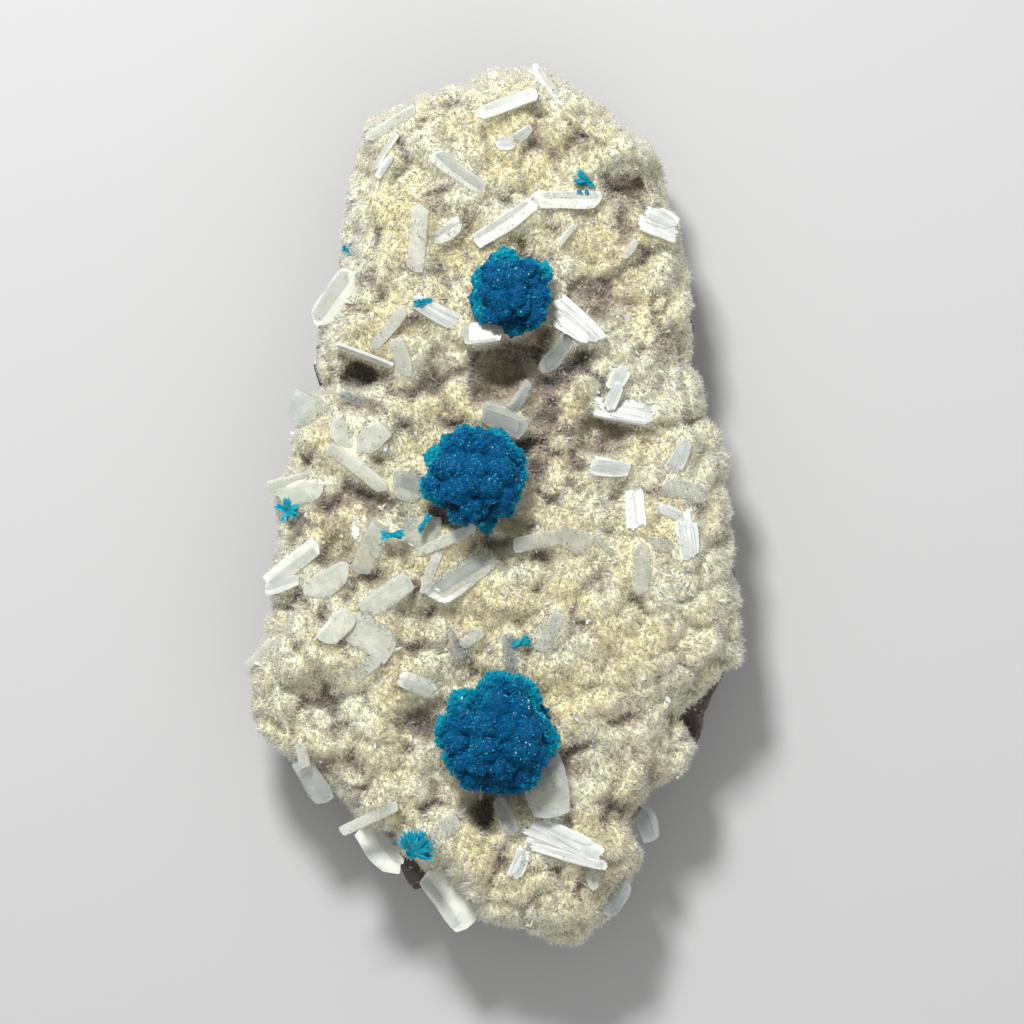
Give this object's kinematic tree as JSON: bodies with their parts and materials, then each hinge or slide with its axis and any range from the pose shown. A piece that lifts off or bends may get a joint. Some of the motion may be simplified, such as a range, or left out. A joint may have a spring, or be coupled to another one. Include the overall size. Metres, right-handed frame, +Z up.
{
  "type": "cavansite mineral specimen",
  "caption": "Elongated slab of basalt with a cream druse crust, white tabular stilbite crystals and round blue cavansite rosettes, lying on its flat back.",
  "frame": {"origin": "middle of the flat broken back, on the surface that the specimen lies on", "axes": "+Z up, out of the crystal-covered face; +Y along the plate's length towards its narrow end; +X to the right, seen from above"},
  "size_m": [0.0498, 0.088, 0.0242],
  "materials": {
    "basalt": "dark purplish brown basalt, rough and broken",
    "druse": "cream druse of fine glinting crystals, greyer in the hollows",
    "stilbite": "milky white translucent crystal with a silky to glassy lustre",
    "cavansite": "deep azure crystals with a glassy glint, teal at the rim",
    "cavansite_spray": "turquoise blue crystals with a glassy glint"
  },
  "bodies": {
    "root": {"druse_crust": "druse", "basalt_matrix": "basalt", "stilbite_crest": "stilbite", "stilbite_top_bar": "stilbite", "stilbite_top_clump": "stilbite", "stilbite_upper_left_bar": "stilbite", "stilbite_slim_pair": "stilbite", "stilbite_upper_grey": "stilbite", "stilbite_upright_bar": "stilbite", "stilbite_short_blade": "stilbite", "stilbite_bent_bar": "stilbite", "stilbite_right_corner": "stilbite", "stilbite_left_shoulder": "stilbite", "stilbite_shelf": "stilbite", "stilbite_leaning_bar": "stilbite", "stilbite_curved_blade": "stilbite", "stilbite_speckled": "stilbite", "stilbite_under_rosette": "stilbite", "stilbite_silky_blade": "stilbite", "stilbite_grey_blade": "stilbite", "stilbite_plate_cluster": "stilbite", "stilbite_glassy_cross": "stilbite", "stilbite_middle_bar": "stilbite", "stilbite_right_blade": "stilbite", "stilbite_right_plate": "stilbite", "stilbite_silky_block": "stilbite", "stilbite_right_crescent": "stilbite", "stilbite_tee": "stilbite", "stilbite_centre_bar": "stilbite", "stilbite_left_plate": "stilbite", "stilbite_left_trio": "stilbite", "stilbite_grey_plate": "stilbite", "stilbite_left_ledge": "stilbite", "stilbite_inner_plate": "stilbite", "stilbite_broad_plate": "stilbite", "stilbite_fork": "stilbite", "stilbite_mound_side": "stilbite", "stilbite_left_edge_bar": "stilbite", "stilbite_pale_blade": "stilbite", "stilbite_rounded_trio": "stilbite", "stilbite_small_oval": "stilbite", "stilbite_left_sliver": "stilbite", "stilbite_lower_left_bar": "stilbite", "stilbite_lower_left_spike": "stilbite", "stilbite_lower_silky": "stilbite", "stilbite_foot_blade": "stilbite", "stilbite_prism_low": "stilbite", "stilbite_big_plate": "stilbite", "stilbite_bright_blade": "stilbite", "stilbite_right_foot": "stilbite", "stilbite_lower_right_bar": "stilbite", "cavansite_rosette_upper": "cavansite", "cavansite_rosette_middle": "cavansite", "cavansite_rosette_lower": "cavansite", "cavansite_spray_top": "cavansite_spray", "cavansite_spray_left": "cavansite_spray", "cavansite_spray_bowtie": "cavansite_spray", "cavansite_spray_sheaf": "cavansite_spray", "cavansite_spray_hook": "cavansite_spray", "cavansite_spray_bottom": "cavansite_spray"}
  },
  "joints": []
}
